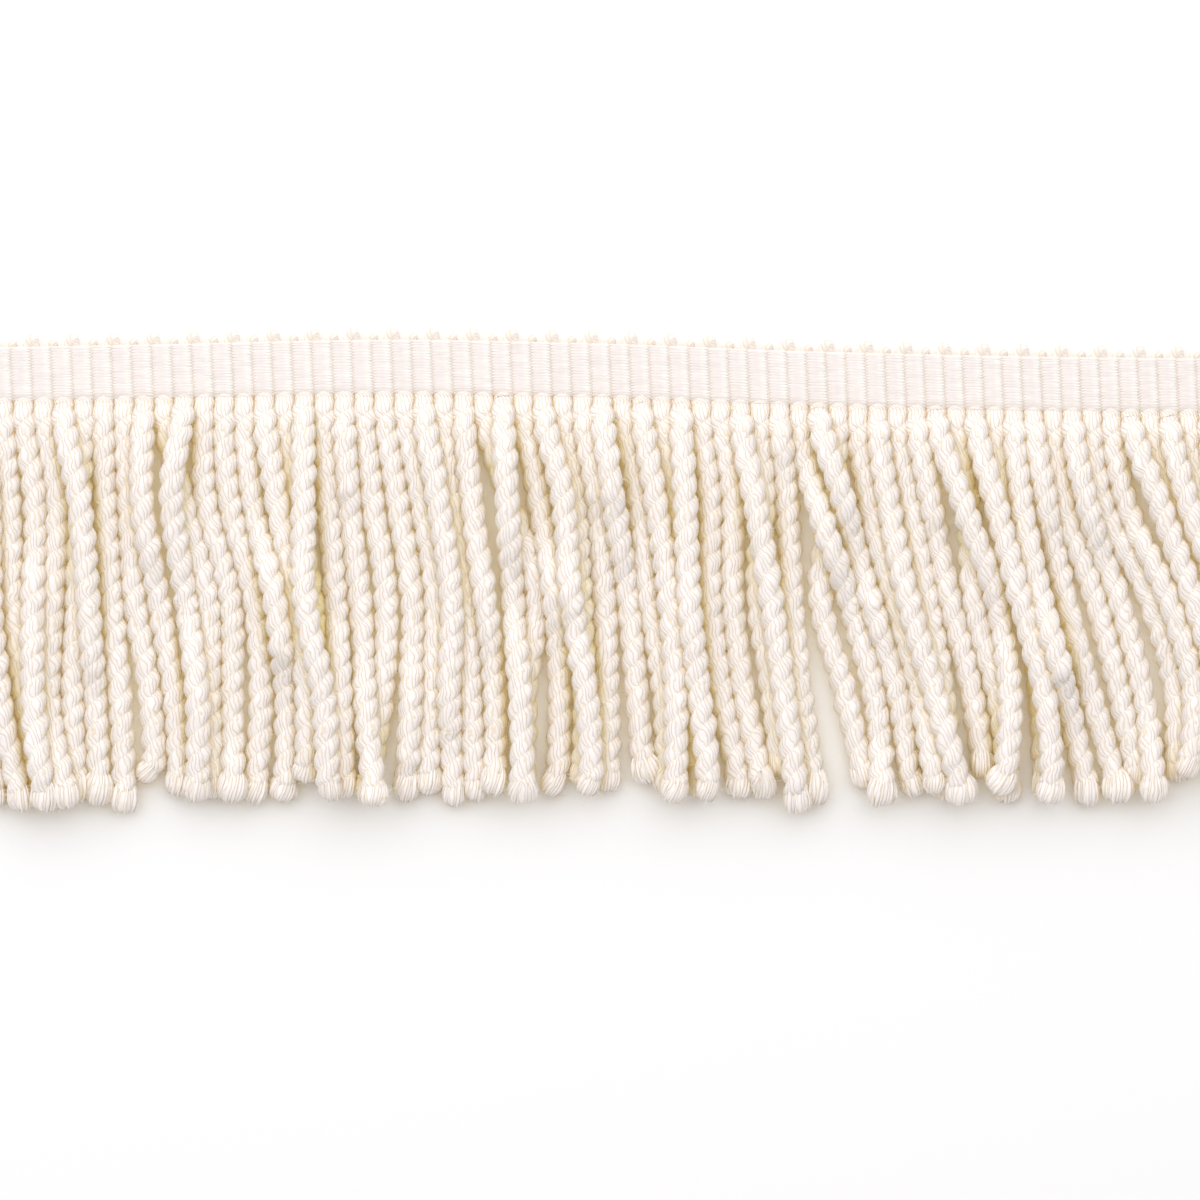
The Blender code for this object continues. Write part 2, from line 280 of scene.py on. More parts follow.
def cotton_yarn_group():
    """Round cotton yarns side by side. Across counts yarns, and Along is a length."""
    tree = bpy.data.node_groups.new("cotton_yarn", "ShaderNodeTree")
    number, colour = "NodeSocketFloat", "NodeSocketColor"
    for name, kind, way in (
        ("Across", number, "INPUT"),
        ("Along", number, "INPUT"),
        ("Shelter", number, "INPUT"),
        ("Crest", colour, "INPUT"),
        ("Crevice", colour, "INPUT"),
        ("Deep", colour, "INPUT"),
        ("Fibre Height", number, "INPUT"),
        ("Colour", colour, "OUTPUT"),
        ("Roughness", number, "OUTPUT"),
        ("Height", number, "OUTPUT"),
    ):
        tree.interface.new_socket(name, in_out=way, socket_type=kind)
    given = tree.nodes.new("NodeGroupInput").outputs
    result = tree.nodes.new("NodeGroupOutput").inputs
    along = given["Along"]

    drift_at = {
        "X": calc(tree, "MULTIPLY", given["Across"], DRIFT_ACROSS),
        "Y": calc(tree, "MULTIPLY", along, DRIFT_ALONG),
    }
    drift = noise(tree, "2D", drift_at, detail=2.0)
    drift = calc(tree, "MULTIPLY_ADD", drift, DRIFT_REACH, -DRIFT_REACH / 2)
    across = calc(tree, "ADD", given["Across"], drift)
    off = calc(tree, "MULTIPLY_ADD", calc(tree, "FRACT", across), 2.0, -1.0)
    off = calc(tree, "ABSOLUTE", off)
    dome = calc(tree, "SQRT", calc(tree, "SUBTRACT", 1.0, calc(tree, "MULTIPLY", off, off)))

    own = calc(tree, "MULTIPLY", calc(tree, "FLOOR", across), YARN_OFFSET)
    lean = calc(tree, "MULTIPLY", along, FIBRE_LEAN)
    fibre_at = {
        "X": calc(tree, "MULTIPLY_ADD", given["Across"], FIBRES_ACROSS, lean),
        "Y": calc(tree, "MULTIPLY", along, FIBRES_ALONG),
        "Z": own,
    }
    fibre = noise(tree, "3D", fibre_at, detail=3.0, Roughness=0.6)
    lot_at = {"X": own, "Y": calc(tree, "MULTIPLY", along, LOT_ALONG)}
    lot = noise(tree, "2D", lot_at, detail=1.0)

    # Painted shade in the grooves between yarns: the colour turns darker and yellower there.
    smooth = {"interpolation_type": "SMOOTHSTEP"}
    crease_shade = node(
        tree, "ShaderNodeMapRange", smooth, Value=off, From_Min=CREASE_SHADE_START, From_Max=1.0
    ).outputs["Result"]
    with_crease_shade = colour_mix(tree, crease_shade, given["Crest"], given["Crevice"])
    # Painted shade far down between neighbours: the colour turns darker and yellower.
    with_painted_shade = colour_mix(tree, given["Shelter"], with_crease_shade, given["Deep"])
    fibre_shade = calc(tree, "MULTIPLY_ADD", fibre, FIBRE_SHADE, LOWEST_SHADE)
    lot_shade = calc(tree, "MULTIPLY_ADD", lot, LOT_SHADE, -LOT_SHADE / 2)
    shade = calc(tree, "ADD", fibre_shade, lot_shade)
    shaded = node(tree, "ShaderNodeVectorMath", {"operation": "SCALE"}, _0=with_painted_shade, Scale=shade)
    tree.links.new(shaded.outputs[0], result["Colour"])
    rough = calc(tree, "MULTIPLY_ADD", fibre, ROUGHNESS_RANGE, SMOOTHEST)
    tree.links.new(rough, result["Roughness"])
    fibre_height = calc(tree, "MULTIPLY", fibre, given["Fibre Height"])
    tree.links.new(calc(tree, "ADD", dome, fibre_height), result["Height"])
    return tree


FIBRE_HEIGHT = 0.5
SPECULAR_LEVEL = 0.25
SHEEN_WEIGHT = 0.4
SHEEN_ROUGHNESS = 0.4
THROUGH_SHARE = 0.6


def yarn_material(name, crest, crevice, deep, relief, lit_through, strip=None):
    """Cotton yarn that follows the piece's own UV map of yarns.

    Light that has already met the cotton once also passes through it, and fills the gaps.
    """
    made = bpy.data.materials.new(name)
    made.use_nodes = True
    tree = made.node_tree
    shader = tree.nodes["Principled BSDF"]
    lie = node(tree, "ShaderNodeUVMap", {"uv_map": "yarns"}).outputs[0]
    split = node(tree, "ShaderNodeSeparateXYZ", Vector=lie).outputs
    # A mask of painted shade on the mesh: 0 in the open, 1 far down between neighbours.
    shelter = node(tree, "ShaderNodeAttribute", {"attribute_name": "shelter"}).outputs["Fac"]
    yarn = node(
        tree,
        "ShaderNodeGroup",
        {"node_tree": bpy.data.node_groups["cotton_yarn"]},
        Across=split[0],
        Along=split[1],
        Shelter=shelter,
        Crest=(*crest, 1.0),
        Crevice=(*crevice, 1.0),
        Deep=(*deep, 1.0),
        Fibre_Height=FIBRE_HEIGHT,
    ).outputs
    if strip:
        on_strip = node(tree, "ShaderNodeAttribute", {"attribute_name": "strip"}).outputs["Fac"]
        striped = colour_mix(tree, on_strip, (*crest, 1.0), (*strip, 1.0))
        tree.links.new(striped, yarn["Colour"].node.inputs["Crest"])
    bump = node(tree, "ShaderNodeBump", Height=yarn["Height"], Distance=relief * MM, Strength=1.0)
    tree.links.new(yarn["Colour"], shader.inputs["Base Color"])
    tree.links.new(yarn["Roughness"], shader.inputs["Roughness"])
    tree.links.new(bump.outputs[0], shader.inputs["Normal"])
    shader.inputs["Specular IOR Level"].default_value = SPECULAR_LEVEL
    shader.inputs["Sheen Weight"].default_value = SHEEN_WEIGHT
    shader.inputs["Sheen Roughness"].default_value = SHEEN_ROUGHNESS
    matt = node(tree, "ShaderNodeBsdfDiffuse", Color=(*lit_through, 1.0)).outputs[0]
    through = node(tree, "ShaderNodeBsdfTranslucent", Color=(*lit_through, 1.0)).outputs[0]
    soft = node(tree, "ShaderNodeMixShader", _0=THROUGH_SHARE, _1=matt, _2=through).outputs[0]
    seen = node(tree, "ShaderNodeLightPath").outputs["Is Camera Ray"]
    cotton = node(tree, "ShaderNodeMixShader", _0=seen, _1=soft, _2=shader.outputs[0]).outputs[0]
    tree.links.new(cotton, tree.nodes["Material Output"].inputs["Surface"])
    return made


cotton_yarn_group()
band_cotton = yarn_material(
    "band_cotton",
    crest=(0.815, 0.745, 0.728),
    crevice=(0.82, 0.74, 0.69),
    deep=(0.84, 0.75, 0.59),
    relief=0.03,
    lit_through=(1.0, 0.95, 0.9),
    strip=(0.85, 0.815, 0.79),
)
heading = add_piece("heading_weave", heading_mesh(), band_cotton)
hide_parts("heading")


# --- The turned weft ------------------------------------------------------------------------------
# Above the heading the weft turns from each rib into the next and shows as a row of small loops.
# Every second loop is a little larger and stands further out.

LARGE_LOOP = 1.6
SMALL_LOOP = 0.55
LARGE_WEFT = 0.82
SMALL_WEFT = 0.66
LOOP_SEGMENTS = 14
LOOP_SIDES = 10
WEFT_YARNS = 4
WEFT_TWIST = 2.2
INNER_FULLNESS = 3.0
LOOP_ASPECT = 1.1
LARGE_FEET = (-0.6, 0.4)
SMALL_FEET = (-0.45, 0.25)
FEET_OFFSET = 0.3
LOOP_MIDDLE_Y = -1.3
LOOP_MIDDLE_Z = 0.6
BURIED_FROM = -0.2

weft_cotton = yarn_material(
    "weft_cotton",
    crest=(0.865, 0.805, 0.76),
    crevice=(0.79, 0.69, 0.59),
    deep=(0.84, 0.74, 0.60),
    relief=0.05,
    lit_through=(1.0, 0.95, 0.9),
)


def frames_along(centres, outward):
    """Unit tangent, outward and sideways directions at each point of a path."""
    tangent = np.gradient(centres, axis=0)
    tangent /= np.linalg.norm(tangent, axis=1)[:, None]
    outward = outward - (outward * tangent).sum(1)[:, None] * tangent
    outward /= np.linalg.norm(outward, axis=1)[:, None]
    return tangent, outward, np.cross(tangent, outward)


def strand_skin(centres, outward, radial, sideways, sides, yarns, twist):
    """Points and yarn coordinates of a strand around a path, twisted by radians per millimetre.

    Its outer side is round, and its inner side, towards the middle of the loop, is fuller.
    """
    tangent, outward, aside = frames_along(centres, outward)
    steps = np.linalg.norm(np.diff(centres, axis=0), axis=1)
    length = np.concatenate(([0.0], np.cumsum(steps)))
    turned = length * twist
    angle = math.tau * np.arange(sides + 1) / sides + math.pi
    power = np.where(np.cos(angle) < 0, 2 / INNER_FULLNESS, 1.0)
    out = np.sign(np.cos(angle)) * np.abs(np.cos(angle)) ** power
    over = np.sign(np.sin(angle)) * np.abs(np.sin(angle)) ** power
    around = out[None, :, None] * outward[:, None, :] * radial
    around = around + over[None, :, None] * aside[:, None, :] * sideways
    points = centres[:, None, :] + around
    lie = np.zeros((*points.shape[:2], 2))
    lie[:, :, 0] = yarns * (angle[None, :] + turned[:, None]) / math.tau
    lie[:, :, 1] = length[:, None]
    return points, lie


loops = []
for rib in range(RIB_COUNT - 1):
    large = rib % 2 == 0
    reach, thick = (LARGE_LOOP, LARGE_WEFT) if large else (SMALL_LOOP, SMALL_WEFT)
    left, right = LARGE_FEET if large else SMALL_FEET
    groove = groove_x(rib + 1) - RIB_LEAN
    edge = heading_y(groove, 1.0)
    # The share of the loop's way, and there X from the groove, Y from the heading's edge, and Z.
    route = (
        (0.0, left, -1.4, 1.15),
        (0.35, left + 0.05, -0.5, 1.4),
        (0.65, (left + 2 * right) / 3, reach - thick, 1.5),
        (0.85, right, -0.3, 1.1),
        (1.0, right, -1.3, 0.9),
    )
    ways = [[(row[0], row[axis]) for row in route] for axis in (1, 2, 3)]
    shares = np.linspace(0.0, 1.0, LOOP_SEGMENTS)
    centres = np.array([[smooth_value(way, share) for way in ways] for share in shares])
    outward = centres - ((left + right) / 2, LOOP_MIDDLE_Y, LOOP_MIDDLE_Z)
    # Painted shade where the loop goes down into the heading.
    buried = np.clip(BURIED_FROM - centres[:, 1], 0.0, 1.0)
    centres += (groove + FEET_OFFSET, edge, 0.0)
    points, lie = strand_skin(
        centres, outward, thick, thick * LOOP_ASPECT, LOOP_SIDES, WEFT_YARNS, WEFT_TWIST
    )
    values = {"shelter": np.tile(buried[:, None], (1, LOOP_SIDES + 1))}
    loops.append(wrapped_mesh("turned_weft_part", in_place(points), lie, values))


def joined(name, meshes):
    """One mesh from many small ones."""
    bm = bmesh.new()
    for mesh in meshes:
        bm.from_mesh(mesh)
        bpy.data.meshes.remove(mesh)
    mesh = bpy.data.meshes.new(name)
    bm.to_mesh(mesh)
    bm.free()
    return mesh


weft_loops = add_piece("turned_weft", joined("turned_weft", loops), weft_cotton)


# --- The bullion cords ----------------------------------------------------------------------------
# Each cord is one strand of soft cotton yarns, twisted hard and doubled back on itself, so that its
# two plies wrap round each other and end in a rounded bight. It leaves the heading below its rib,
# and lies where it falls on its neighbours.

CORD_RADIUS = 1.85
STACKING_DISTANCE = 3.5
SIDE_BY_SIDE = 3.3
ROOT_HEIGHT = 1.4
LEVEL_TOP = 34.0
LEVEL_STEP = 1.1
LEVEL_COUNT = 66
SAG = 0.042
TIP_SLOPE = 0.45
ROOT_SQUEEZE = 0.2
ROOT_SQUEEZE_LENGTH = 2.0
SETTLING_PASSES = 300

# One row for each cord from left to right: how far it has drifted along X at a quarter, half and
# three quarters of its drop and at its tip, its drop, the layer it lies in, and how far its tip
# turns sideways.
CordLie = namedtuple("CordLie", "quarter half three_quarters tip drop layer curl")
CORD_LIES = tuple(
    CordLie(*row)
    for row in (
        (0.8, 1.0, 2.2, 5.5, 66.0, 1, 0.0),
        (1.6, 2.2, 3.6, 6.0, 66.5, 0, 0.0),
        (1.2, 1.5, 3.2, 6.8, 67.0, 2, 0.0),
        (1.0, 1.8, 3.8, 6.4, 66.5, 0, 0.0),
        (2.0, 1.7, 2.0, 4.0, 67.0, 2, 0.0),
        (2.3, 1.5, 1.1, 4.4, 66.5, 1, 0.0),
        (2.8, 4.2, 5.2, 5.9, 66.0, 3, 0.0),
        (-0.7, -1.1, -1.8, -0.9, 65.5, 0, 0.0),
        (0.3, 1.4, 2.8, 3.5, 67.5, 2, 0.0),
        (0.8, 1.6, 4.1, 5.6, 63.0, 1, -1.6),
        (-0.2, 2.3, 5.0, 5.9, 65.0, 2, 0.0),
        (3.1, 7.2, 7.5, 8.5, 65.5, 0, 0.0),
        (-1.9, 0.4, 2.4, 2.2, 66.0, 2, 0.0),
        (0.2, 4.3, 4.6, 4.9, 66.0, 3, 0.0),
        (0.8, 4.9, 6.0, 4.9, 66.5, 1, 0.0),
        (1.3, 5.2, 6.9, 6.7, 66.5, 2, -0.4),
        (2.0, 4.7, 7.0, 6.9, 63.5, 1, 0.0),
        (1.8, 4.4, 6.5, 7.0, 64.0, 0, 0.0),
        (0.0, 0.3, 3.3, 4.1, 66.5, 2, 0.5),
        (0.7, 1.8, 2.8, 3.5, 66.0, 1, 0.0),
        (0.8, 2.6, 3.6, 5.4, 67.5, 3, 0.0),
        (1.3, 3.6, 2.9, 0.1, 66.5, 1, 0.0),
        (2.1, 4.6, 4.4, 3.6, 66.5, 2, 0.0),
        (2.6, 5.1, 4.4, 3.8, 65.5, 1, 0.0),
        (2.3, 4.6, 4.2, 5.1, 67.5, 3, 0.0),
        (1.5, 3.8, 4.4, 5.4, 66.5, 0, 0.0),
        (1.3, 3.4, 5.1, 5.1, 65.5, 2, 0.0),
        (3.8, 8.7, 7.0, 6.5, 64.0, 0, 0.0),
        (0.7, 1.6, 2.9, 3.3, 67.0, 2, 0.0),
        (2.5, 5.1, 6.0, 5.6, 65.5, 1, -0.8),
        (3.3, 4.6, 7.2, 8.2, 65.5, 3, -0.6),
        (2.2, 3.0, 3.6, 3.4, 64.0, 0, 0.0),
        (2.3, 3.6, 4.1, 4.1, 64.5, 1, 0.0),
        (1.7, 4.1, 5.6, 6.9, 63.0, 3, 0.8),
        (2.6, 4.4, 6.9, 7.4, 64.5, 0, 0.0),
        (2.3, 4.6, 5.6, 5.6, 66.0, 2, -0.3),
        (2.3, 3.9, 5.2, 6.4, 65.0, 0, 0.0),
        (0.7, 1.3, 3.1, 4.9, 65.5, 2, -0.5),
        (1.5, 1.6, 3.6, 7.0, 65.0, 2, 0.0),
        (2.0, 2.0, 4.0, 7.6, 65.0, 1, 0.0),
        (2.5, 5.2, 7.5, 9.6, 67.0, 3, 0.0),
        (0.7, -0.3, 1.8, 3.6, 61.0, 0, 0.0),
        (1.3, 2.1, 3.6, 6.2, 65.0, 2, 0.0),
        (3.0, 8.5, 12.6, 13.6, 65.5, 2, 0.0),
        (4.1, 8.5, 13.2, 15.2, 64.0, 3, 0.8),
        (-1.0, -2.9, 1.1, 4.6, 62.5, 0, 0.6),
        (1.8, 5.9, 10.3, 12.9, 63.5, 1, 0.0),
        (1.8, 5.2, 9.8, 14.2, 65.0, 3, 0.0),
        (2.3, 5.1, 7.7, 8.4, 64.0, 0, 0.0),
        (2.3, 5.2, 8.8, 11.3, 60.5, 1, 0.0),
        (4.4, 9.8, 12.0, 11.0, 63.0, 3, -0.8),
        (2.1, 3.2, 7.2, 8.8, 64.5, 1, 0.0),
        (3.4, 7.6, 11.5, 12.6, 64.5, 2, -0.4),
        (1.5, 5.2, 7.5, 8.5, 63.5, 0, 0.0),
        (1.3, 4.7, 8.9, 12.6, 64.5, 2, 0.0),
        (2.2, 5.6, 9.9, 14.6, 64.0, 2, 0.0),
        (2.1, 6.9, 10.9, 14.1, 61.5, 0, 0.0),
        (2.5, 8.0, 11.9, 13.4, 64.0, 2, 0.0),
        (1.8, 9.3, 13.6, 13.6, 60.5, 0, 0.5),
        (2.5, 9.0, 13.2, 12.7, 60.0, 2, -0.5),
        (4.8, 10.2, 14.8, 17.0, 62.0, 3, 0.0),
        (4.0, 9.0, 12.3, 14.7, 61.5, 0, 0.0),
        (3.1, 9.0, 13.2, 15.6, 62.5, 2, 0.0),
        (2.5, 8.0, 12.0, 14.6, 62.0, 1, 0.0),
        (2.7, 7.6, 11.6, 14.0, 62.5, 2, 0.0),
        (2.4, 6.8, 10.4, 13.0, 62.0, 1, 0.0),
    )
)


def root_of(n):
    """Where cord n leaves the heading's lower edge."""
    x = groove_x(n + 0.5)
    return x, heading_y(x, 0.0)


def cord_x(n, y):
    """X of cord n's centre line at a level."""
    lie = CORD_LIES[n]
    x, y_root = root_of(n)
    rows = ((0, 0), (0.25, lie.quarter), (0.5, lie.half), (0.75, lie.three_quarters), (1, lie.tip))
    share = min(max((y_root - y) / lie.drop, 0.0), 1.0)
    return x + smooth_value(rows, share, level_start=True)


def level_y(j):
    return LEVEL_TOP - j * LEVEL_STEP


def settle(support):
    """Let a cord hang between what supports it, from the heading to its free tip."""
    levels = sorted(support)
    heights = dict(support)
    for _ in range(SETTLING_PASSES):
        heights[levels[0]] = ROOT_HEIGHT
        for j in levels[1:-1]:
            heights[j] = max(support[j], (heights[j - 1] + heights[j + 1]) / 2 - SAG)
        tip = levels[-1]
        heights[tip] = max(support[tip], heights[tip - 1] - TIP_SLOPE * LEVEL_STEP)
    return heights


def lay_cords():
    """Height of each cord at its levels. The lowest layer is laid first, and the rest lie on it."""
    order = sorted(range(RIB_COUNT), key=lambda n: (CORD_LIES[n].layer, n))
    laid = {}
    for n in order:
        y_root = root_of(n)[1]
        support = {}
        for j in range(LEVEL_COUNT):
            y = level_y(j)
            depth = y_root - y
            if not 0 <= depth <= CORD_LIES[n].drop + LEVEL_STEP:
                continue
            x = cord_x(n, y)
            slant = math.atan2(x - cord_x(n, y + LEVEL_STEP), LEVEL_STEP)
            squeeze = 1 - ROOT_SQUEEZE * math.exp(-depth / ROOT_SQUEEZE_LENGTH)
            rest = CORD_RADIUS
            for other, heights in laid.items():
                aside = abs(x - cord_x(other, y)) * math.cos(slant) / squeeze
                if j in heights and aside < SIDE_BY_SIDE:
                    over = math.sqrt(STACKING_DISTANCE**2 - aside**2) * squeeze
                    rest = max(rest, heights[j] + over)
            support[j] = rest
        laid[n] = settle(support)
    return laid


LAY = 7.0
LOBE_RADIUS = 2.22
WAIST_RADIUS = 1.57
FACE_RELIEF = 0.15
VALLEY_DEPTH = 0.05
VALLEY_WIDTH = 11.0
PLY_CENTRE = 0.86
PLY_YARNS = 7
PLY_TWIST = 1.12
OWN_SHARE = 0.3
YARN_STRETCH = 1.2
PLUMP_PLACES = np.arange(-2, 70, 2.2)
PLUMP_SPREAD = 0.05
LAY_SPREAD = 0.02
WANDER = 0.3
WANDER_PLACES = 9
WANDER_ONSET = 8
# Stations round one ply, in degrees from the middle of its outer side, closer at the valleys.
PLY_TURNS = (-90, -81, -68, -50, -27, 0, 27, 50, 68, 81, 90)
ROOT_ANGLE = 8.0
ROOT_ANGLE_SPREAD = 0.12
ROOT_RADIUS = 1.68
ROOT_SWELL = 0.04
ROOT_FLATNESS = 0.76
ROOT_LENGTH = 2.4
ROOT_TAPER = 0.25
TIP_TAPER = 0.3
TIP_TAPER_LENGTH = 1.5
CURL_LENGTH = 3.5
STATION_STEP = 0.36
HIDDEN_ROOT = 1.6
RESTING_MARGIN = 0.35
BIGHT_HALF_WIDTH = 2.3
BIGHT_HALF_LENGTH = 2.2
BIGHT_SHOULDER = 3.2
BIGHT_HALF_HEIGHT = 1.9
BIGHT_SPREAD = 0.06
BIGHT_WIDTHS = (0.85, 1.15)
BIGHT_YARNS = 23
BIGHT_YARN_SPREAD = 0.07
BIGHT_YARN_LENGTH = 6.5
BIGHT_RIDGE = 0.2
BIGHT_FAN = 1.6
BIGHT_LEAN_SPREAD = 0.4
BIGHT_TURNS = 69
BIGHT_STATIONS = 12
BIGHT_START = 0.02
BIGHT_TUCK = 65.0
# A grid over the trim holds a smoothed roof of its upper side. Far under that roof the cords'
# colour turns darker and yellower: painted shade.
GRID_CELLS = (600, 260)
GRID_MIDDLE = (300, 130)
SHADE_GRID_CELL = 0.4
SHADE_ROOF_REACH = 3
SHADE_ROOF_PASSES = 2
PAINTED_SHADE_START = 0.85
PAINTED_SHADE_DEPTH = 2.3
VALLEY_PAINTED_SHADE = 0.12
RIDGE_PAINTED_SHADE = 0.6

cord_cotton = yarn_material(
    "cord_cotton",
    crest=(0.955, 0.885, 0.87),
    crevice=(0.885, 0.77, 0.615),
    deep=(0.87, 0.74, 0.42),
    relief=0.11,
    lit_through=(0.98, 0.91, 0.71),
)


def cord_axis(n, laid):
    """Centre line of cord n from inside the heading to the middle of its bight."""
    lie = CORD_LIES[n]
    y_root = root_of(n)[1]
    rows = sorted((-level_y(j), z) for j, z in laid[n].items())
    last = lie.drop - BIGHT_HALF_LENGTH
    count = round((last + HIDDEN_ROOT) / STATION_STEP)
    points = []
    for depth in np.linspace(-HIDDEN_ROOT, last, count):
        y = y_root - depth
        z = ROOT_HEIGHT
        if depth > 0:
            z = smooth_value(rows, min(max(-y, rows[0][0]), rows[-1][0]))
        to_tip = max(0.0, 1 - (last - depth) / CURL_LENGTH)
        points.append((cord_x(n, y) + lie.curl * to_tip**2, y, z))
    return np.array(points)


def pressed(points):
    """The soft underside, pressed flat where it rests on the table."""
    z = points[:, :, 2]
    flat = np.clip(z + RESTING_MARGIN, 0, None) ** 2 / (4 * RESTING_MARGIN)
    points[:, :, 2] = np.where(z < RESTING_MARGIN, flat, z)
    return points


def cord_skin(n, laid):
    """Points, yarn coordinates and valley values of cord n, and the same of its bight."""
    rng = np.random.default_rng(100 + n)
    axis = cord_axis(n, laid)
    along = np.gradient(axis, axis=0)
    along /= np.linalg.norm(along, axis=1)[:, None]
    right = np.cross((0.0, 0.0, 1.0), along)
    right /= np.linalg.norm(right, axis=1)[:, None]
    above = np.cross(along, right)
    steps = np.linalg.norm(np.diff(axis, axis=0), axis=1)
    depth = np.concatenate(([0.0], np.cumsum(steps))) - HIDDEN_ROOT
    below = np.clip(depth, 0, None)
    places = np.linspace(0, depth[-1], WANDER_PLACES)
    wander = np.interp(depth, places, rng.normal(0, WANDER, WANDER_PLACES))
    root_angle = math.radians(ROOT_ANGLE) + rng.normal(0, ROOT_ANGLE_SPREAD)
    angle = root_angle + math.tau * below / (LAY * rng.normal(1, LAY_SPREAD))
    angle += wander * np.clip(below / WANDER_ONSET, 0, 1)
    at_root = np.exp(-((below / ROOT_LENGTH) ** 2))
    at_tip = np.clip(1 - (depth[-1] - depth) / TIP_TAPER_LENGTH, 0, 1)
    taper = 1 - ROOT_TAPER * np.clip(-depth / HIDDEN_ROOT, 0, 1) - TIP_TAPER * at_tip
    lobe = (LOBE_RADIUS * (1 - at_root) + (ROOT_RADIUS + ROOT_SWELL) * at_root) * taper
    waist = (WAIST_RADIUS * (1 - at_root) + ROOT_RADIUS * at_root) * taper
    flat = 1 - (1 - ROOT_FLATNESS) * at_root
    columns, lies, valleys = [], [], []
    for side in (0, 1):
        fullness = rng.normal(0, PLUMP_SPREAD, len(PLUMP_PLACES))
        plump = 1 + np.interp(depth, PLUMP_PLACES, fullness)
        for turn in PLY_TURNS:
            a = math.radians(turn)
            valley = math.exp(-(((90 - abs(turn)) / VALLEY_WIDTH) ** 2))
            full = math.cos(a)
            radius = waist + (lobe * (1 + (plump - 1) * full) - waist) * full
            radius -= VALLEY_DEPTH * valley
            at = angle + math.pi * side + a
            rise = FACE_RELIEF * radius + (1 - FACE_RELIEF) * (lobe + waist) / 2
            aside = (radius * np.cos(at))[:, None] * right
            up = (rise * np.sin(at) * flat)[:, None] * above
            columns.append(axis + aside + up)
            own = np.arctan2(radius * math.sin(a), radius * full - PLY_CENTRE)
            round_ply = own * OWN_SHARE + a * (1 - OWN_SHARE) + PLY_TWIST * depth
            across = PLY_YARNS * (round_ply / math.pi + side)
            lies.append(np.stack((across, depth * YARN_STRETCH), axis=1))
            valleys.append(np.full(len(depth), valley))
    columns.append(columns[0])
    lies.append(lies[-1])
    valleys.append(valleys[-1])
    body = [np.stack(part, axis=1) for part in (columns, lies, valleys)]
    body[0] = pressed(body[0])

    # The bight: the strand turns back here, and its yarns fan out from the cord and tuck in below.
    size = rng.normal(1.0, BIGHT_SPREAD)
    half_width = BIGHT_HALF_WIDTH * rng.uniform(*BIGHT_WIDTHS)
    u = np.arange(BIGHT_TURNS + 1) / BIGHT_TURNS
    v = np.linspace(BIGHT_START, 1, BIGHT_STATIONS)[:, None]
    yarn = (BIGHT_YARNS * u).astype(int) % BIGHT_YARNS
    ridge = np.abs(np.sin(math.pi * BIGHT_YARNS * u))[None, :]
    own_length = rng.normal(0, BIGHT_YARN_SPREAD, BIGHT_YARNS)[yarn]
    fanned = np.sin(math.pi * np.minimum(v * BIGHT_FAN, 0.5))
    swell = BIGHT_RIDGE / BIGHT_HALF_WIDTH * (ridge - 1) + own_length * ridge
    swell = (1 + swell * fanned) * size
    lean = v * rng.normal(1.0, BIGHT_LEAN_SPREAD)
    shoulder = np.where(v < 0.5, BIGHT_SHOULDER / BIGHT_HALF_LENGTH, 1)
    ball_x = np.sin(math.pi * v) * np.cos(math.tau * u + lean)
    ball_y = np.cos(math.pi * v) * shoulder + 0 * u
    ball_z = np.sin(math.pi * v) * np.sin(math.tau * u + lean)
    tuck = math.radians(BIGHT_TUCK) * v**2
    tucked_y = ball_y * np.cos(tuck) - ball_z * np.sin(tuck)
    tucked_z = ball_y * np.sin(tuck) + ball_z * np.cos(tuck)
    tip_z = max(axis[-1, 2], BIGHT_HALF_HEIGHT * size)
    ball = np.array((*axis[-1, :2], tip_z)) + swell[..., None] * (
        (ball_x * half_width)[..., None] * right[-1]
        - (tucked_y * BIGHT_HALF_LENGTH)[..., None] * along[-1]
        + (tucked_z * BIGHT_HALF_HEIGHT)[..., None] * above[-1]
    )
    ball_along = BIGHT_YARN_LENGTH * v + 0 * u + depth[-1]
    ball_lie = np.stack((BIGHT_YARNS * u + 0 * v, ball_along), axis=2)
    # Faint painted shade between the bight's fanned yarns.
    return body, [pressed(ball), ball_lie, RIDGE_PAINTED_SHADE * (1 - ridge) + 0 * v]


def cells_of(points):
    """The column and row of the grid cell over each point."""
    cells = (points[..., :2] / SHADE_GRID_CELL).astype(int) + GRID_MIDDLE
    return cells[..., 0], cells[..., 1]


def roof_over(skins):
    """Mean height of the trim's upper side around every cell of a square grid over it."""
    roof = np.zeros(GRID_CELLS)
    for points in skins:
        np.maximum.at(roof, cells_of(points), points[..., 2])
    for axis in (0, 1):
        roof = np.maximum(roof, np.maximum(np.roll(roof, 1, axis), np.roll(roof, -1, axis)))
    reach = range(-SHADE_ROOF_REACH, SHADE_ROOF_REACH + 1)
    for _ in range(SHADE_ROOF_PASSES):
        for axis in (0, 1):
            roof = np.mean([np.roll(roof, step, axis) for step in reach], axis=0)
    return roof


def painted_shade_of(points, roof):
    """The mask of painted shade: how far each point lies under the trim's upper side, from 0 to 1.
    """
    depth = roof[cells_of(points)] - points[..., 2]
    return np.clip((depth - PAINTED_SHADE_START) / PAINTED_SHADE_DEPTH, 0, 1)


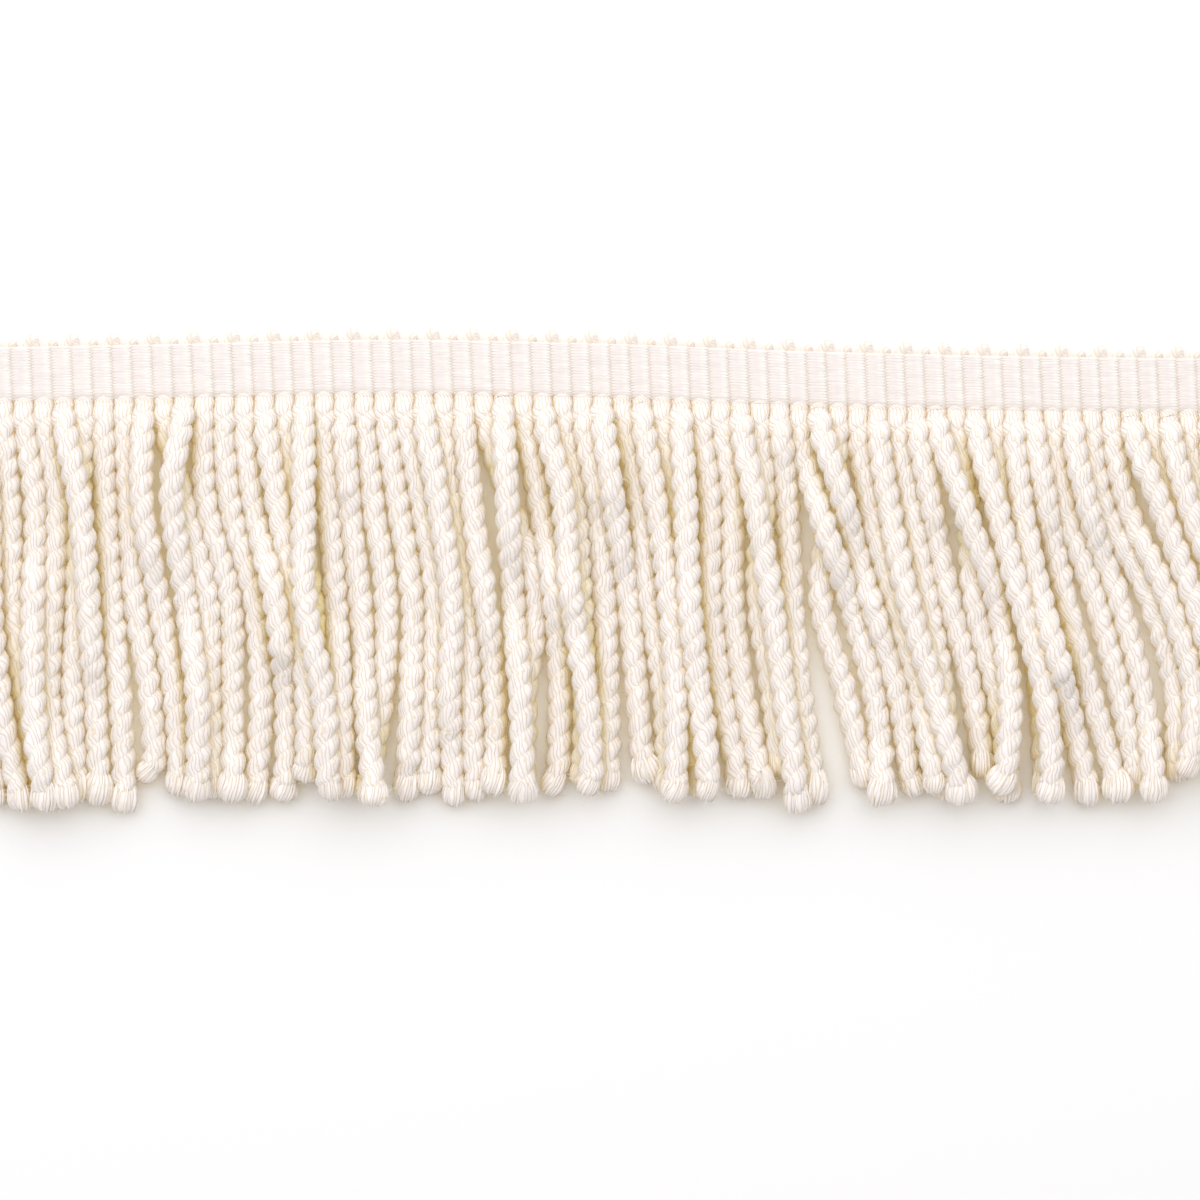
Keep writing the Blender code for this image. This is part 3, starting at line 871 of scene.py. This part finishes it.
laid = lay_cords()
skins = [cord_skin(n, laid) for n in range(RIB_COUNT)]
roof = roof_over([part[0] for skin in skins for part in skin])
for n, skin in enumerate(skins):
    name = f"bullion_cord_{n + 1:02d}"
    parts = []
    for points, lie, valley in skin:
        # Painted shade far under the trim's upper side, and faintly along the valleys between the
        # plies and between the bight's yarns.
        shelter = np.maximum(painted_shade_of(points, roof), VALLEY_PAINTED_SHADE * valley)
        parts.append(wrapped_mesh(name, in_place(points), lie, {"shelter": shelter}))
    add_piece(name, joined(name, parts), cord_cotton)
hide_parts("bullion_skirt")


# --- The stray fibres -----------------------------------------------------------------------------
# Short ends of cotton that have worked loose from the twist. They stand out all along the cords as
# a thin down, and in longer tufts round the bights.

# How many starts are tried. Those far under the trim's upper side, in painted shade, or low on a
# skin are left out, and many on its top.
CORD_STARTS = 420
BIGHT_STARTS = 110
FIRST_STATION = 4
DEEPEST_PAINTED_SHADE = 0.5
LOWEST_OUTWARD = -0.3
HIGHEST_OUTWARD = (0.3, 1.4)
CORD_FIBRE_LENGTH = 0.6
BIGHT_FIBRE_LENGTH = 0.8
LENGTH_RANGE = (0.5, 1.5)
LEAN_SPREAD = 0.45
BEND_SPREAD = 0.5
LOWEST_FIBRE = 0.05
FIBRE_RADIUS = 0.028
FIBRE_SIDES = 3
FIBRE_WIDTHS = ((-0.1, 0.0), (0.0, 1.0), (0.55, 0.8), (1.0, 0.0))
ACROSS_FIBRE = (0.3, 1.0, 0.2)
RING_STEP = 0.3

fibre_cotton = yarn_material(
    "fibre_cotton",
    crest=(0.97, 0.90, 0.87),
    crevice=(0.92, 0.83, 0.74),
    deep=(0.90, 0.77, 0.50),
    relief=0.01,
    lit_through=(0.98, 0.91, 0.71),
)


def fibres_on(points, count, length, rng):
    """Rings of points round loose fibres that start at random places on the open side of a skin."""
    middle = points[:, :-1].mean(axis=1)
    shelter = painted_shade_of(points, roof)
    angle = math.tau * np.arange(FIBRE_SIDES + 1)[:, None] / FIBRE_SIDES
    rings = []
    for _ in range(count):
        station = rng.integers(FIRST_STATION, len(points) - 1)
        turn = rng.integers(0, points.shape[1] - 1)
        start = points[station, turn]
        outward = start - middle[station]
        outward /= np.linalg.norm(outward)
        if shelter[station, turn] > DEEPEST_PAINTED_SHADE:
            continue
        if outward[2] <= LOWEST_OUTWARD or outward[2] >= rng.uniform(*HIGHEST_OUTWARD):
            continue
        reach = length * rng.uniform(*LENGTH_RANGE)
        lean = outward + rng.normal(0, LEAN_SPREAD, 3)
        bend = rng.normal(0, BEND_SPREAD, 3)
        side = np.cross(lean, ACROSS_FIBRE)
        side /= np.linalg.norm(side)
        over = np.cross(lean, side) / np.linalg.norm(lean)
        circle = np.cos(angle) * side + np.sin(angle) * over
        for share, width in FIBRE_WIDTHS:
            centre = start + reach * (lean * share + bend * share**2)
            centre[2] = max(centre[2], LOWEST_FIBRE)
            rings.append(centre + width * FIBRE_RADIUS * circle)
    return rings


rng = np.random.default_rng(7)
rings = []
for body, bight in skins:
    rings += fibres_on(body[0], CORD_STARTS, CORD_FIBRE_LENGTH, rng)
    rings += fibres_on(bight[0], BIGHT_STARTS, BIGHT_FIBRE_LENGTH, rng)
rings = np.array(rings)
lie = np.zeros((*rings.shape[:2], 2))
lie[:, :, 0] = np.arange(FIBRE_SIDES + 1) / FIBRE_SIDES
lie[:, :, 1] = RING_STEP * np.arange(len(rings))[:, None]
open_air = {"shelter": np.zeros(rings.shape[:2])}
fibre_mesh = wrapped_mesh("stray_fibres", in_place(rings), lie, open_air)
fibres = add_piece("stray_fibres", fibre_mesh, fibre_cotton)


# --- The floor ------------------------------------------------------------------------------------
# A plain pale board, smooth and matt. It lies a hair below the trim, so that the two don't share
# a face.

# These lengths are in metres.
FLOOR_SIDE = 3.0
FLOOR_GAP = 0.00003
FLOOR_COLOUR = (0.87, 0.86, 0.865)
FLOOR_ROUGHNESS = 0.95

floor_paint = bpy.data.materials.new("floor_paint")
floor_paint.use_nodes = True
floor_shader = floor_paint.node_tree.nodes["Principled BSDF"]
floor_shader.inputs["Base Color"].default_value = (*FLOOR_COLOUR, 1.0)
floor_shader.inputs["Roughness"].default_value = FLOOR_ROUGHNESS
floor_shader.inputs["Specular IOR Level"].default_value = 0.0
bm = bmesh.new()
bmesh.ops.create_grid(bm, x_segments=1, y_segments=1, size=FLOOR_SIDE / 2)
bmesh.ops.translate(bm, verts=bm.verts, vec=(0.0, 0.0, -FLOOR_GAP))
floor_mesh = bpy.data.meshes.new("floor")
bm.to_mesh(floor_mesh)
bm.free()
floor_mesh.materials.append(floor_paint)
floor = bpy.data.objects.new("floor", floor_mesh)
bpy.context.scene.collection.objects.link(floor)


# --- The light and the camera ---------------------------------------------------------------------
# A bright tent all round the trim, and one broad lamp beyond its heading, which leaves the tips of
# the cords a little darker. The camera looks straight down through a long lens.

# These lengths are in metres.
SKY_STRENGTH = 0.7
KEY_POWER = 5.9
KEY_SIZE = (1.5, 1.1)
KEY_PLACE = (-0.1, 0.36, 0.46)
KEY_TILT = (-38, -10)
CAMERA_AIM = (-0.003555, -0.004483)
CAMERA_HEIGHT = 1.2
SENSOR_WIDTH = 36.0
FRAME_WIDTH = 0.1961
FRAME_LEVEL = 0.003
BOUNCES = 20

world = bpy.data.worlds.new("tent")
bpy.context.scene.world = world
world.use_nodes = True
sky = world.node_tree.nodes["Background"]
sky.inputs["Color"].default_value = (1.0, 1.0, 1.0, 1.0)
sky.inputs["Strength"].default_value = SKY_STRENGTH

key = bpy.data.lights.new("key", "AREA")
key.energy = KEY_POWER
key.shape = "RECTANGLE"
key.size, key.size_y = KEY_SIZE
key_lamp = bpy.data.objects.new("key", key)
key_lamp.visible_camera = False
key_lamp.location = KEY_PLACE
key_lamp.rotation_euler = (*map(math.radians, KEY_TILT), 0.0)
bpy.context.scene.collection.objects.link(key_lamp)

lens = bpy.data.cameras.new("camera")
lens.sensor_width = SENSOR_WIDTH
lens.lens = SENSOR_WIDTH * (CAMERA_HEIGHT - FRAME_LEVEL) / FRAME_WIDTH
camera = bpy.data.objects.new("camera", lens)
camera.location = (*CAMERA_AIM, CAMERA_HEIGHT)
bpy.context.scene.collection.objects.link(camera)
bpy.context.scene.camera = camera

bpy.context.scene.view_settings.view_transform = "Standard"
bpy.context.scene.cycles.max_bounces = BOUNCES
bpy.context.scene.cycles.diffuse_bounces = BOUNCES
